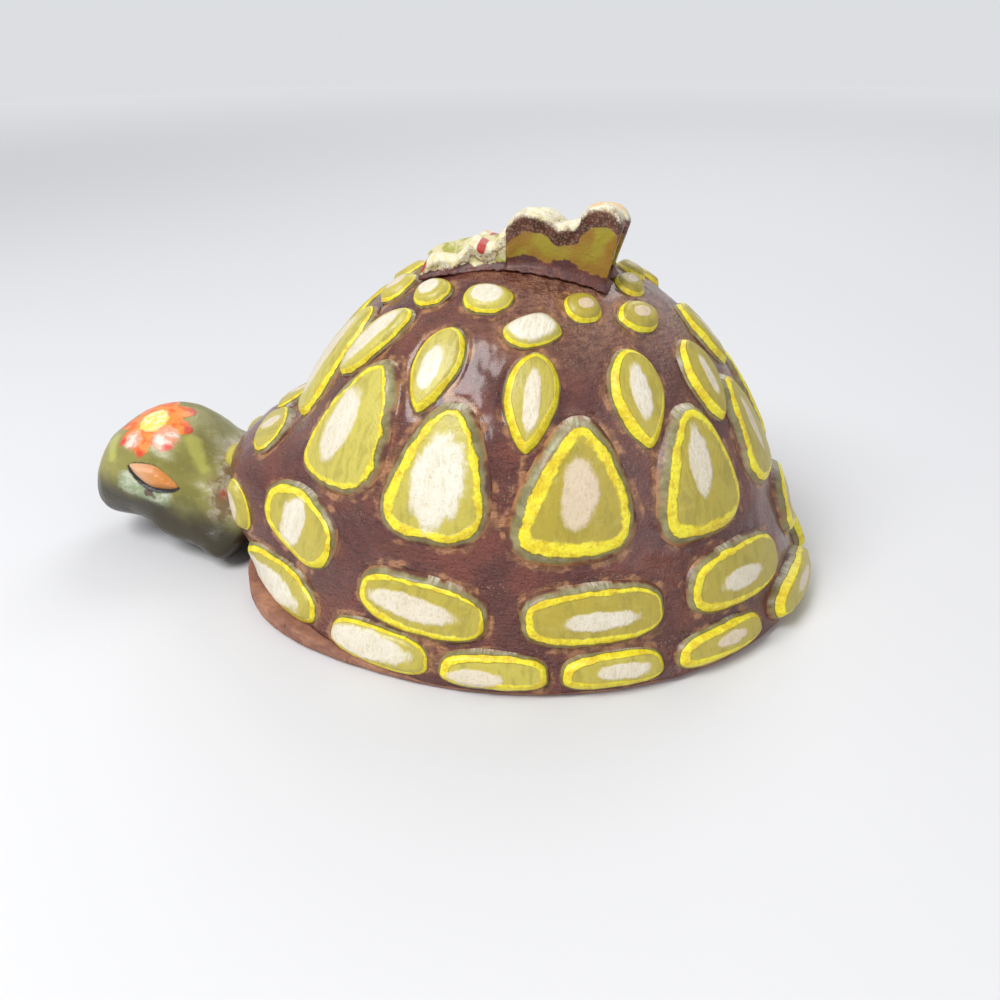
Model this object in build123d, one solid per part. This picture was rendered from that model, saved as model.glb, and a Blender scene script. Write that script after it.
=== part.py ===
from build123d import *
import math
import os

# Turtle figurine: +Z up, head towards -X, the turtle's left side towards -Y.
# The origin is the middle of the resting face of the belly slab. Lengths are in millimetres.

# Shell
shell_length = 108.0
shell_width = 94.0
shell_height = 60.0
shell_wall = 5.0
profile_power = 1.4
profile_root = 2.4
flare_share = 0.045
flare_power = 9.0
level_shares = (0.0, 0.12, 0.24, 0.35, 0.46, 0.60, 0.75, 0.87, 0.95, 0.992)
ring_points = 24

# Hood of the shell over the neck, angles measured from the front
hood_reach_share = 1.035
hood_edge_height = 21.5
hood_top_height = 31.5
hood_full_angle = 17.0
hood_end_angle = 42.0
hood_foot_height = 2.0
hood_full_height = 12.0

# Lower edge of the shell, which lifts off the belly slab towards the front
edge_rear_height = 1.2
edge_front_height = 3.6
edge_lift_start_share = 0.08
edge_lift_end_share = 0.36

# Belly slab and its vent
belly_thickness = 7.0
belly_inset = 0.7
belly_edge_chamfer = 0.8
vent_radius = 4.0
vent_place = 18.0

# Head and neck
head_reach = 35.3
head_height = 25.2
head_width = 24.8
head_top_height = 28.6
tenon_length = 11.0
neck_notch_share = 0.72
# reach from the front of the rim, height of the middle, height, width, fullness of the lower half
head_shares = (
    (0.057, 0.385, 0.794, 1.100, 2.8),
    (0.198, 0.458, 0.921, 1.090, 2.8),
    (0.340, 0.528, 0.992, 1.050, 2.6),
    (0.482, 0.556, 1.000, 1.010, 2.3),
    (0.623, 0.542, 0.921, 0.960, 2.0),
    (0.765, 0.493, 0.770, 0.855, 2.0),
    (0.878, 0.430, 0.571, 0.677, 2.0),
    (0.952, 0.367, 0.360, 0.430, 2.0),
    (0.997, 0.322, 0.119, 0.150, 2.0),
)

# Closed eyelids
eyelid_length = 11.0
eyelid_height = 4.6
eyelid_lift = 0.8
eyelid_reach = 16.2
eyelid_level = 18.2
eyelid_roundness = 1.35
eyelid_slope = 19.0

# Scutes: pads of clay with bevelled sides
scute_lift = 1.4
scute_bevel = 1.3
scute_root = 5.0
outline_points = 12
crown_width = 9.0
crown_height = 7.2
diamond_width = 10.5
diamond_height = 18.0
costal_width = 16.8
costal_height = 23.4
lower_width = 24.0
lower_height = 11.5
marginal_width = 19.0
marginal_height = 7.2

# Each row from head to tail: degrees from the tail, height on the shell, width, height,
# roundness, narrowing towards the top, lean towards the tail, turn in degrees
crown_shares = (
    (166, 0.905, 0.80, 1.15, 2.0, 0.00, 0.00, 0),
    (136, 0.930, 0.86, 1.02, 2.1, 0.10, 0.10, -6),
    (103, 0.938, 1.02, 0.98, 2.1, 0.10, 0.05, -4),
    (81, 0.884, 1.10, 1.04, 1.6, -0.10, 0.30, -8),
    (57, 0.920, 0.76, 0.92, 2.2, 0.00, 0.00, 0),
    (33, 0.882, 1.02, 0.96, 1.8, 0.00, 0.00, -8),
    (15, 0.934, 0.84, 0.84, 2.0, 0.00, 0.00, 0),
)
diamond_shares = (
    (143.5, 0.806, 0.78, 0.88, 2.1, 0.06, 0.36, 0),
    (112, 0.790, 0.84, 0.86, 1.75, 0.22, 0.10, 0),
    (82.4, 0.736, 0.85, 0.91, 1.75, 0.24, 0.09, 0),
    (51.8, 0.724, 0.95, 0.93, 1.75, 0.20, 0.04, 0),
    (24, 0.712, 0.88, 0.86, 1.8, 0.16, 0.04, 0),
)
costal_shares = (
    (164, 0.705, 0.72, 1.04, 2.4, -0.20, 0.10, 0),
    (132, 0.620, 1.02, 1.02, 2.5, -0.42, 0.18, 0),
    (103.5, 0.560, 0.97, 0.98, 2.6, -0.42, 0.08, 0),
    (73, 0.534, 1.04, 0.97, 2.6, -0.46, 0.11, 0),
    (41.5, 0.526, 0.98, 0.94, 2.6, -0.40, 0.09, 0),
    (13, 0.545, 0.74, 0.88, 2.5, -0.36, 0.00, 0),
)
lower_shares = (
    (168, 0.466, 0.68, 0.76, 2.3, -0.10, 0.00, -6),
    (138.5, 0.312, 0.82, 1.12, 2.5, 0.00, 0.00, -9),
    (104, 0.224, 0.98, 0.94, 2.7, 0.00, 0.00, -5),
    (71, 0.222, 1.00, 0.94, 2.9, 0.00, 0.00, 1),
    (36.5, 0.232, 1.00, 1.02, 2.7, -0.06, 0.00, -3),
)
marginal_shares = (
    (172, 0.350, 0.44, 0.62, 2.2, 0.00, 0.00, 0),
    (157, 0.284, 0.32, 1.40, 2.2, 0.00, 0.00, 22),
    (142.5, 0.118, 1.32, 1.24, 2.7, -0.10, 0.00, -3),
    (112, 0.088, 1.03, 1.06, 2.9, -0.06, 0.00, -2),
    (89.5, 0.077, 0.96, 0.98, 3.0, -0.08, 0.00, 0),
    (68, 0.074, 0.92, 0.94, 3.0, -0.08, 0.00, 0),
    (44.5, 0.074, 1.02, 0.96, 3.0, -0.06, 0.00, 0),
    (15.5, 0.077, 1.18, 1.02, 2.8, -0.06, 0.00, 0),
)
rear_diamond_shares = (0, 0.775, 0.76, 0.80, 1.8, 0.10, 0.00, 0)
rear_lower_shares = (0, 0.262, 0.72, 1.10, 2.6, -0.06, 0.00, 0)

# Butterfly on top of the shell
butterfly_offset = 4.5
butterfly_turn = 7.0
butterfly_front = 16.5
body_length = 25.0
body_radius = 2.3
body_rise = 1.3
body_slope = 7.0
wing_thickness = 3.0
wing_gap = 2.6
wing_lean = 6.0
wing_root = 6.0
forewing_start = 15.0
forewing_length = 19.0
forewing_foot = 16.0
forewing_height = 9.8
hindwing_length = 16.5
hindwing_height = 8.0
right_wing_share = 0.86
# reach from the wing's front corner, height above the shell's top plane
forewing_shares = ((0.00, 0.52), (0.20, 0.93), (0.42, 0.72), (0.56, 0.62),
                   (0.66, 0.86), (0.96, 0.96), (1.00, 0.76))
hindwing_shares = ((0.00, -0.30), (0.16, 0.06), (0.37, 0.02), (0.38, 0.04),
                   (0.56, 0.50), (0.80, 0.44), (0.81, 0.46), (0.90, 0.70), (1.00, 0.72))


def ease(share):
    share = min(max(share, 0.0), 1.0)
    return share * share * (3 - 2 * share)


def radius_share(azimuth, level, hooded):
    body = (1 - flare_share) * (1 - level ** profile_power) ** (1 / profile_root)
    body += flare_share * (1 - level) ** flare_power
    if not hooded:
        return body
    from_front = abs(180 - azimuth % 360)
    side = ease((hood_end_angle - from_front) / (hood_end_angle - hood_full_angle))
    height = level * shell_height
    rise = ease((height - hood_foot_height) / (hood_full_height - hood_foot_height))
    below = ease((hood_top_height - height) / (hood_top_height - hood_edge_height))
    return body + (hood_reach_share - body) * side * rise * below


def shell_point(azimuth, level, lift=0.0, hooded=True):
    share = radius_share(azimuth, level, hooded)
    angle = math.radians(azimuth)
    return Vector((shell_length / 2 + lift) * share * math.cos(angle),
                  (shell_width / 2 + lift) * share * math.sin(angle),
                  (shell_height + lift) * level)


def shell_ring(level, lift, hooded):
    ring = [shell_point(360 * i / ring_points, level, lift, hooded) for i in range(ring_points)]
    return Wire([Edge.make_spline(ring, periodic=True)])


def shell_solid(lift, hooded=True):
    return Solid.make_loft([shell_ring(level, lift, hooded) for level in level_shares])


def bulged(share, fullness):
    return math.copysign(abs(share) ** (2 / fullness), share)


def oval(x, middle, half_height, half_width, lower_fullness):
    points = []
    for i in range(outline_points):
        angle = 2 * math.pi * i / outline_points
        across, along = math.cos(angle), math.sin(angle)
        if along < 0:
            across, along = bulged(across, lower_fullness), bulged(along, lower_fullness)
        points.append(Vector(x, half_width * across, middle + half_height * along))
    return Wire([Edge.make_spline(points, periodic=True)])


def head_solid(lift):
    front = -shell_length / 2
    first = head_shares[0]
    tenon_reach = first[0] - tenon_length / head_reach
    rows = ((tenon_reach, *first[1:]), *head_shares)
    return Solid.make_loft([oval(front - head_reach * reach, head_top_height * middle,
                                 head_height / 2 * height + lift, head_width / 2 * width + lift,
                                 fullness)
                            for reach, middle, height, width, fullness in rows])


def pad_outline(width, height, roundness, narrowing, lean, plane):
    points = []
    for i in range(outline_points):
        angle = 2 * math.pi * i / outline_points
        u, v = bulged(math.cos(angle), roundness), bulged(math.sin(angle), roundness)
        points.append(plane.from_local_coords(
            Vector(width / 2 * u * (1 + narrowing * v) + height / 2 * lean * v, height / 2 * v, 0)))
    return Wire([Edge.make_spline(points, periodic=True)])


def pad_block(plane, width, height, roundness, narrowing, lean, root, lift, bevel):
    wires = []
    for depth in (-root, 2 * lift):
        grow = -2 * bevel * depth / lift
        wires.append(pad_outline(width + grow, height + grow, roundness, narrowing, lean,
                                 plane.offset(depth)))
    return Solid.make_loft(wires, ruled=True)


def scute(width, height, shares, side):
    degrees, level, width_share, height_share, roundness, narrowing, lean, turn = shares
    azimuth = side * degrees
    along = shell_point(azimuth + 1, level) - shell_point(azimuth - 1, level)
    up = shell_point(azimuth, level + 0.01) - shell_point(azimuth, level - 0.01)
    plane = Plane(origin=shell_point(azimuth, level), x_dir=along, z_dir=along.cross(up))
    plane = plane.rotated((0, 0, -side * turn))
    block = pad_block(plane, width * width_share, height * height_share, roundness, narrowing,
                      -side * lean, scute_root, scute_lift, scute_bevel / 2)
    return (block & shell_lifted) - shell_outer - edge_wedge


def wing(length, height, foot, shares, start, side):
    tall = height if side < 0 else height * right_wing_share
    points = [(length * reach, tall * level) for reach, level in shares]
    edges = [Line((0, -wing_root), points[0])]
    for first, middle, last in zip(points[0::2], points[1::2], points[2::2]):
        edges.append(ThreePointArc(first, middle, last))
    edges.append(Line(points[-1], (foot, -wing_root)))
    edges.append(Line((foot, -wing_root), (0, -wing_root)))
    face = make_face(Curve() + edges)
    slab = extrude(Plane((0, 0, 0), x_dir=(1, 0, 0), z_dir=(0, -1, 0)) * face, wing_thickness)
    slab = Pos(start, -wing_gap / 2, 0) * Rot(wing_lean, 0, 0) * slab
    return slab if side < 0 else mirror(slab, Plane.XZ)


# Shell surfaces that the other pieces follow
shell_outer = shell_solid(0)
shell_lifted = shell_solid(scute_lift)
shell_inner = shell_solid(-shell_wall, hooded=False)
lift_start = -shell_length * edge_lift_start_share
lift_end = -shell_length * edge_lift_end_share
edge_profile = Polyline((shell_length, 0), (shell_length, edge_rear_height), (lift_start, edge_rear_height),
                        (lift_end, edge_front_height), (-shell_length, edge_front_height), (-shell_length, 0),
                        close=True)
edge_wedge = extrude(Plane.XZ * make_face(edge_profile), shell_width, both=True)

nodes = {}

# Head and neck, one piece of clay whose tenon passes the shell wall
head = head_solid(0)
nodes["head_and_neck"] = head

# Carapace
nodes["carapace"] = shell_outer - shell_inner - head - edge_wedge

# Belly slab: a plug in the shell's mouth and a lip under its edge, notched for the neck, with a vent
plug = shell_inner & Pos(0, 0, belly_thickness / 2) * Box(2 * shell_length, 2 * shell_width, belly_thickness)
lip = extrude(Face(shell_ring(0, -belly_inset, False)), edge_front_height, dir=(0, 0, 1))
lip = chamfer(lip.edges().group_by(Axis.Z)[0], belly_edge_chamfer) & edge_wedge
notch_width = head_width * head_shares[0][3] * neck_notch_share
notch_height = head_top_height * head_shares[0][1]
notch = Pos(-shell_length / 2 - head_reach * head_shares[0][0], 0, notch_height / 2) * Box(
    2 * tenon_length, notch_width, notch_height)
vent = Pos(vent_place, 0, belly_thickness / 2) * Cylinder(vent_radius, 2 * belly_thickness)
nodes["plastron"] = plug + lip - head - notch - vent

# Eyelids
head_lifted = head_solid(eyelid_lift)
for name, side in (("left_eyelid", -1), ("right_eyelid", 1)):
    eye = Plane(origin=(-shell_length / 2 - eyelid_reach, side * head_width / 2, eyelid_level),
                x_dir=(-side, 0, 0), z_dir=(0, side, 0)).rotated((0, 0, -side * eyelid_slope))
    block = pad_block(eye, eyelid_length, eyelid_height, eyelid_roundness, 0, 0,
                      head_width / 4, 2 * eyelid_lift, eyelid_lift / 2)
    nodes[name] = (block & head_lifted) - head

# Scutes
rows = (("crown", crown_width, crown_height, crown_shares),
        ("diamond", diamond_width, diamond_height, diamond_shares),
        ("costal", costal_width, costal_height, costal_shares),
        ("lower", lower_width, lower_height, lower_shares))
for row, width, height, table in rows:
    for side_name, side in (("left", -1), ("right", 1)):
        for count, shares in enumerate(table, 1):
            nodes[f"{side_name}_{row}_scute_{count}"] = scute(width, height, shares, side)
nodes["rear_diamond_scute"] = scute(diamond_width, diamond_height, rear_diamond_shares, -1)
nodes["rear_lower_scute"] = scute(lower_width, lower_height, rear_lower_shares, -1)
for side_name, side in (("left", -1), ("right", 1)):
    group = [scute(marginal_width, marginal_height, shares, side) - head for shares in marginal_shares]
    nodes[f"{side_name}_marginal_scutes"] = Compound(children=[s for part in group for s in part.solids()])

# Butterfly with raised wings
place = Pos(0, -butterfly_offset, shell_height) * Rot(0, 0, -butterfly_turn)
body_rings = []
for share in (0.0, 0.08, 0.2, 0.36, 0.6, 0.85, 1.0):
    radius = body_radius * math.sqrt(1 - (2 * share - 1) ** 2) + body_radius / 8
    body_rings.append(Wire([Edge.make_circle(radius, Plane(origin=(body_length * share, 0, 0),
                                                           x_dir=(0, 1, 0), z_dir=(1, 0, 0)))]))
body_drop = body_length * math.sin(math.radians(body_slope)) / 2
body_place = place * Pos(-butterfly_front, 0, body_rise - body_drop) * Rot(0, -body_slope, 0)
body = body_place * Solid.make_loft(body_rings)
nodes["butterfly_body"] = body - shell_outer
for side_name, side in (("left", -1), ("right", 1)):
    fore = wing(forewing_length, forewing_height, forewing_foot, forewing_shares,
                forewing_start - butterfly_front, side)
    hind = wing(hindwing_length, hindwing_height, hindwing_length, hindwing_shares,
                -butterfly_front, side)
    fore = place * fore - shell_outer - body
    hind = place * hind - shell_outer - body - fore
    nodes[f"{side_name}_forewing"] = fore
    nodes[f"{side_name}_hindwing"] = hind

os.makedirs("parts", exist_ok=True)
for name, solid in nodes.items():
    export_step(solid, f"parts/{name}.step")
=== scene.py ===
import bmesh
import bpy
import math
import numpy as np
from mathutils import Matrix, Vector
from mathutils.kdtree import KDTree


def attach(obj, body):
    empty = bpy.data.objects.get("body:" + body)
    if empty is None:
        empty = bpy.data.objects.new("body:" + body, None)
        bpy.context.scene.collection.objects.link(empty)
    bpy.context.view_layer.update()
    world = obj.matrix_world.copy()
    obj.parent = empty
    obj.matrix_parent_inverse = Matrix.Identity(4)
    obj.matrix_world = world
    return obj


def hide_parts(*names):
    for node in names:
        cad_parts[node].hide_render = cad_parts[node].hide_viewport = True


# Turtle figurine: hand-modelled clay with thick paint. Metres, head towards -X, near side -Y.
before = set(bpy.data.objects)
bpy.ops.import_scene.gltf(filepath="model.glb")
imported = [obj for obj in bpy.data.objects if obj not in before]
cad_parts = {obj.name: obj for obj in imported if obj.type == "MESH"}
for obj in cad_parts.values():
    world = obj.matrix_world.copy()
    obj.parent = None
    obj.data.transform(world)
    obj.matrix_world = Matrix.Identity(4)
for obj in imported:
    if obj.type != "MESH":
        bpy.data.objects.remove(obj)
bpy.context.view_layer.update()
mm = 0.001

# Shell form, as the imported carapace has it
shell_length = 108.0 * mm
shell_width = 94.0 * mm
shell_height = 60.0 * mm
shell_wall = 5.0 * mm
profile_power = 1.4
profile_root = 2.4
flare_share = 0.045
flare_power = 9.0
hood_reach_share = 1.035
hood_edge_height = 21.5 * mm
hood_top_height = 31.5 * mm
hood_full_angle = 17.0
hood_end_angle = 42.0
hood_foot_height = 2.0 * mm
hood_full_height = 12.0 * mm
edge_rear_height = 1.2 * mm
edge_front_height = 3.6 * mm
edge_lift_start = -0.08 * shell_length
edge_lift_end = -0.36 * shell_length

# Shell mesh
shell_columns = 560
shell_rows = 130
inner_rows = 8
form_below = 6.0 * mm

# Scutes
sides = (("left", -1), ("right", 1))
scute_lift = 1.2 * mm
scute_crown = 0.3 * mm
tail_lift = 1.3 * mm
tail_angle = 36.0
tail_level = 0.3
tail_blend = 0.1
scute_bevel = 2.4 * mm
bevel_least_share = 0.7
zone_least = 2.0 * mm
zone_reach = 13.0 * mm
zone_least_share = 0.32
scute_sink = 0.4 * mm
scute_step = 0.34 * mm
bevel_power = 1.7
foot_points = 160
seam_distance = 0.002 * mm
ray_start = 12.0 * mm
ray_length = 50.0 * mm
groove_depth = 0.35 * mm
groove_width = 0.45

# Head and eyelids
head_axis_height = 14.4 * mm
head_half_width = 12.4 * mm
eyelid_size = (11.0 * mm, 4.6 * mm)
eyelid_lift = 0.8 * mm
eyelid_reach = 16.2 * mm
eyelid_level = 18.2 * mm
eyelid_slope = 19.0
crown_lowered = 1.0 * mm
snout_shortened = 0.3
snout_start = -83.0 * mm
throat_spread = 4.5 * mm
collar_spread = 2.5 * mm
nape_slimmed = 1.9 * mm

# Painted marks on the head, in millimetres: flower and leaves by x and the way round the crown,
# the others by x and height
crown_radius = 12.6
flower_place = (-72.0, 4.0)
flower_radius = 7.8
petal_tip_radius = 7.2
petal_count = 8
petal_turn = 8.0
leaf_strokes = (((-63.4, 7.0), (-60.4, 13.4)), ((-80.8, 6.6), (-79.6, 12.2)))
# A stroke below each eye, a painted highlight
eye_highlight_stroke = ((-75.6, 16.6), (-68.5, 14.2))
smudge_stroke = ((-71.4, 15.0), (-70.4, 14.2))
neck_dot = (-56.3, 15.4)
# Widths of the dark line at the lid's foot: the painted eye line below, painted shade in the crease above
line_below, shade_line_above = 0.95, 0.12
unpainted = 9.0

# Butterfly
butterfly_offset = 4.5 * mm
butterfly_turn = 7.0
valley_filled = 1.3 * mm
foot_fillet = 1.3 * mm
rim_strips = 40

# Along a wing from its front end, in millimetres; a cell has its middle and half width
valley_middle = 10.4
wing_swell = 0.25
wing_pressed = 0.5
bead_places = (2.0, 6.2, 10.8)
bead_swell = 0.6
fore_cells = ((4.6, 4.6), (13.4, 5.0))
hind_cells = ((2.6, 3.0), (8.2, 3.2), (13.6, 3.4))

# Clay of the belly slab squeezed out beside the neck
belly_squeeze = 2.8 * mm
belly_squeeze_angle = 38.0
belly_squeeze_spread = 21.0

# Camera of the photograph
camera_place = Vector((20.593, -171.412, 104.872)) * mm
camera_right = Vector((0.990, 0.141, -0.010))
camera_forward = Vector((-0.129, 0.870, -0.477))
photo_lens = 36.0
photo_sensor = 36.0

# Floor, sky and light: each lamp's name, place, size and power
sky_level = 0.42
sky_seen = 0.85
floor_clear = 0.3
floor_gone = 0.9
light_target = Vector((0.0, 0.0, 0.03))
area_lights = (("key", (-0.26, -0.30, 0.50), 0.3, 3.3),
               ("fill", (0.50, -0.40, 0.30), 0.5, 0.9),
               ("back", (0.10, 0.50, 0.50), 0.4, 1.5))

# Each row from head to tail: degrees from the tail, height on the shell, width, height,
# roundness, narrowing towards the top, lean towards the tail, turn in degrees
crown_shares = (
    (166, 0.905, 0.8, 1.15, 2, 0, 0, 0),
    (136, 0.930, 0.86, 1.02, 2.1, 0.1, 0.1, -6),
    (103, 0.938, 1.02, 0.98, 2.1, 0.1, 0.05, -4),
    (81, 0.884, 1.1, 1.04, 1.6, -0.1, 0.3, -8),
    (57, 0.920, 0.76, 0.92, 2.2, 0, 0, 0),
    (33, 0.882, 1.02, 0.96, 1.8, 0, 0, -8),
    (15, 0.934, 0.84, 0.84, 2, 0, 0, 0),
)
diamond_shares = (
    (143.5, 0.806, 0.78, 0.88, 2.1, 0.06, 0.36, 0),
    (112, 0.790, 0.84, 0.86, 1.75, 0.22, 0.1, 0),
    (82.4, 0.736, 0.85, 0.91, 1.75, 0.24, 0.09, 0),
    (51.8, 0.724, 0.95, 0.93, 1.75, 0.2, 0.04, 0),
    (24, 0.712, 0.88, 0.86, 1.8, 0.16, 0.04, 0),
)
costal_shares = (
    (164, 0.705, 0.72, 1.04, 2.4, -0.2, 0.1, 0),
    (132, 0.620, 1.02, 1.02, 2.5, -0.42, 0.18, 0),
    (103.5, 0.560, 0.97, 0.98, 2.6, -0.42, 0.08, 0),
    (73, 0.534, 1.04, 0.97, 2.6, -0.46, 0.11, 0),
    (41.5, 0.526, 0.98, 0.94, 2.6, -0.4, 0.09, 0),
    (13, 0.545, 0.74, 0.88, 2.5, -0.36, 0, 0),
)
lower_shares = (
    (168, 0.466, 0.68, 0.76, 2.3, -0.1, 0, -6),
    (138.5, 0.312, 0.82, 1.12, 2.5, 0, 0, -9),
    (104, 0.224, 0.98, 0.94, 2.7, 0, 0, -5),
    (71, 0.222, 1, 0.94, 2.9, 0, 0, 1),
    (36.5, 0.232, 1, 1.02, 2.7, -0.06, 0, -3),
)
marginal_shares = (
    (172, 0.350, 0.44, 0.62, 2.2, 0, 0, 0),
    (157, 0.284, 0.32, 1.4, 2.2, 0, 0, 22),
    (142.5, 0.118, 1.32, 1.24, 2.7, -0.1, 0, -3),
    (112, 0.088, 1.03, 1.06, 2.9, -0.06, 0, -2),
    (89.5, 0.077, 0.96, 0.98, 3, -0.08, 0, 0),
    (68, 0.074, 0.92, 0.94, 3, -0.08, 0, 0),
    (44.5, 0.074, 1.02, 0.96, 3, -0.06, 0, 0),
    (15.5, 0.077, 1.18, 1.02, 2.8, -0.06, 0, 0),
)
rear_diamond_shares = (0, 0.775, 0.76, 0.8, 1.8, 0.1, 0, 0)
rear_lower_shares = (0, 0.262, 0.72, 1.1, 2.6, -0.06, 0, 0)

# Brushwork of each scute, in the same order: width of the olive side and of the bright rim,
# brightness of the fill, place of the cream stroke across and up, its width and height, its whiteness
crown_brush = (
    (0.5, 0.9, 0.7, -0.1, 0, 0.46, 0.5, 0.6),
    (0.6, 0.8, 0.7, -0.15, 0.05, 0.5, 0.46, 0.9),
    (0.6, 0.8, 0.9, 0, 0.05, 0.58, 0.52, 0.95),
    (0.5, 0.7, 0.9, -0.05, 0.05, 0.74, 0.68, 1),
    (0.4, 1, 0.35, 0.05, -0.05, 0.38, 0.32, 0.3),
    (0.4, 1, 0.35, 0, 0, 0.38, 0.3, 0.3),
    (0.4, 1, 0.35, 0, 0, 0.38, 0.3, 0.3),
)
diamond_brush = (
    (0.5, 0.9, 0.9, -0.06, 0.05, 0.42, 0.74, 0.85),
    (0.5, 1.2, 0.8, -0.04, -0.04, 0.36, 0.48, 0.95),
    (0.4, 1.7, 0.6, 0.05, -0.02, 0.28, 0.56, 0.8),
    (0.4, 1.5, 0.5, 0, 0.1, 0.3, 0.54, 0.9),
    (0.4, 1.3, 0.4, 0.05, 0, 0.22, 0.44, 0.7),
)
costal_brush = (
    (0.4, 0.8, 0.9, -0.1, 0, 0.4, 0.72, 0.7),
    (0.9, 0.7, 0.9, -0.16, -0.06, 0.36, 0.48, 0.9),
    (0.8, 1.15, 0.7, 0.06, -0.1, 0.52, 0.6, 1),
    (1, 1.4, 0.3, 0.06, -0.04, 0.3, 0.44, 0.4),
    (0.8, 1.2, 0.45, -0.02, 0.14, 0.24, 0.5, 0.8),
    (0.6, 1.1, 0.4, 0, 0.05, 0.18, 0.44, 0.5),
)
lower_brush = (
    (0.8, 1, 0.6, -0.05, 0, 0.26, 0.5, 0.6),
    (0.55, 1.2, 0.6, -0.1, 0, 0.32, 0.7, 0.95),
    (0.8, 1, 0.5, -0.12, -0.06, 0.66, 0.36, 0.8),
    (0.8, 1.1, 0.35, 0.06, -0.12, 0.48, 0.28, 0.85),
    (0.6, 1.2, 0.4, -0.05, -0.12, 0.42, 0.3, 0.8),
)
marginal_brush = (
    (0.4, 0.3, 0.7, 0.3, 0, 0.06, 0.06, 0.2),
    (0.4, 0.8, 0.7, -0.3, 0.05, 0.56, 0.52, 0.6),
    (0.5, 1.2, 0.6, -0.12, -0.2, 0.8, 0.56, 1),
    (0.5, 1.2, 0.7, -0.16, 0, 0.8, 0.64, 0.9),
    (0.8, 2.5, 0.8, -0.3, -0.3, 0.46, 0.4, 0.7),
    (0.6, 2.3, 0.6, 0.15, -0.05, 0.5, 0.4, 0.8),
    (0.7, 2.5, 0.5, 0.1, 0.05, 0.36, 0.32, 0.5),
    (0.6, 1.6, 0.5, 0, 0, 0.38, 0.32, 0.5),
)

# Size of a row's scutes, their shapes and their brushwork
rows = {
    "crown": ((9.0 * mm, 7.2 * mm), crown_shares, crown_brush),
    "diamond": ((10.5 * mm, 18.0 * mm), diamond_shares, diamond_brush),
    "costal": ((16.8 * mm, 23.4 * mm), costal_shares, costal_brush),
    "lower": ((24.0 * mm, 11.5 * mm), lower_shares, lower_brush),
    "marginal": ((19.0 * mm, 7.2 * mm), marginal_shares, marginal_brush),
}


def paint(red, green, blue):
    """A colour given as a screen shows it, 0 to 255, as Blender's linear colour."""
    shares = [value / 255 for value in (red, green, blue)]
    return (*[s / 12.92 if s <= 0.04045 else ((s + 0.055) / 1.055) ** 2.4 for s in shares], 1.0)


def ease(share):
    share = np.clip(share, 0.0, 1.0)
    return share * share * (3 - 2 * share)


def radius_share(azimuth, level):
    level = np.maximum(level, 0.0)
    body = (1 - flare_share) * np.clip(1 - level ** profile_power, 0, None) ** (1 / profile_root)
    body = body + flare_share * (1 - level) ** flare_power
    from_front = np.abs(180 - azimuth % 360)
    side = ease((hood_end_angle - from_front) / (hood_end_angle - hood_full_angle))
    height = level * shell_height
    rise = ease((height - hood_foot_height) / (hood_full_height - hood_foot_height))
    below = ease((hood_top_height - height) / (hood_top_height - hood_edge_height))
    return body + (hood_reach_share - body) * side * rise * below


def shell_point(azimuth, level):
    share, angle = radius_share(azimuth, level), np.radians(azimuth)
    return np.stack([shell_length / 2 * share * np.cos(angle), shell_width / 2 * share * np.sin(angle),
                     shell_height * level + 0 * angle], axis=-1)


def shell_top_at(x, y):
    """Height of the shell over a point near its middle, where it has no flare or hood."""
    share = np.hypot(x / (shell_length / 2), y / (shell_width / 2)) / (1 - flare_share)
    return shell_height * np.clip(1 - share ** profile_root, 0, None) ** (1 / profile_power)


def edge_height(x):
    share = np.clip((x - edge_lift_start) / (edge_lift_end - edge_lift_start), 0, 1)
    return edge_rear_height + (edge_front_height - edge_rear_height) * share


# Meshes

def add_object(name, mesh):
    made = bpy.data.objects.new(name, mesh)
    bpy.context.scene.collection.objects.link(made)
    return made


def smooth(mesh):
    mesh.polygons.foreach_set("use_smooth", [True] * len(mesh.polygons))
    mesh.update()


def ring_mesh(name, rings, first_tip, last_tip):
    """A closed skin through rings of as many points each, with a tip at both ends."""
    rows, columns = rings.shape[:2]
    index = np.arange(rows * columns).reshape(rows, columns)
    here, there = index[:-1], index[1:]
    quads = np.stack([here, np.roll(here, -1, 1), np.roll(there, -1, 1), there], -1).reshape(-1, 4)
    tips = rows * columns, rows * columns + 1
    first, last = index[0], index[-1]
    caps = [(tips[0], b, a) for a, b in zip(first, np.roll(first, -1))]
    caps += [(tips[1], a, b) for a, b in zip(last, np.roll(last, -1))]
    mesh = bpy.data.meshes.new(name)
    points = np.concatenate([rings.reshape(-1, 3), [first_tip, last_tip]])
    mesh.from_pydata(points.tolist(), [], quads.tolist() + [[int(i) for i in cap] for cap in caps])
    turn_outward(mesh)
    smooth(mesh)
    return mesh


def turn_outward(mesh):
    work = bmesh.new()
    work.from_mesh(mesh)
    bmesh.ops.recalc_face_normals(work, faces=work.faces)
    if work.calc_volume(signed=True) < 0:
        bmesh.ops.reverse_faces(work, faces=work.faces)
    work.to_mesh(mesh)
    work.free()


def places(mesh, kind="co"):
    """The points of a mesh, or their normals."""
    flat = np.empty(len(mesh.vertices) * 3, np.float32)
    mesh.vertices.foreach_get(kind, flat)
    return flat.reshape(-1, 3).astype(float)


def move_to(mesh, points):
    mesh.vertices.foreach_set("co", points.astype(np.float32).ravel())
    mesh.update()


def set_attribute(mesh, name, values):
    mesh.attributes.new(name, "FLOAT", "POINT").data.foreach_set("value", np.asarray(values, np.float32))


def get_attribute(mesh, name):
    values = np.empty(len(mesh.vertices), np.float32)
    mesh.attributes[name].data.foreach_get("value", values)
    return values


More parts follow.
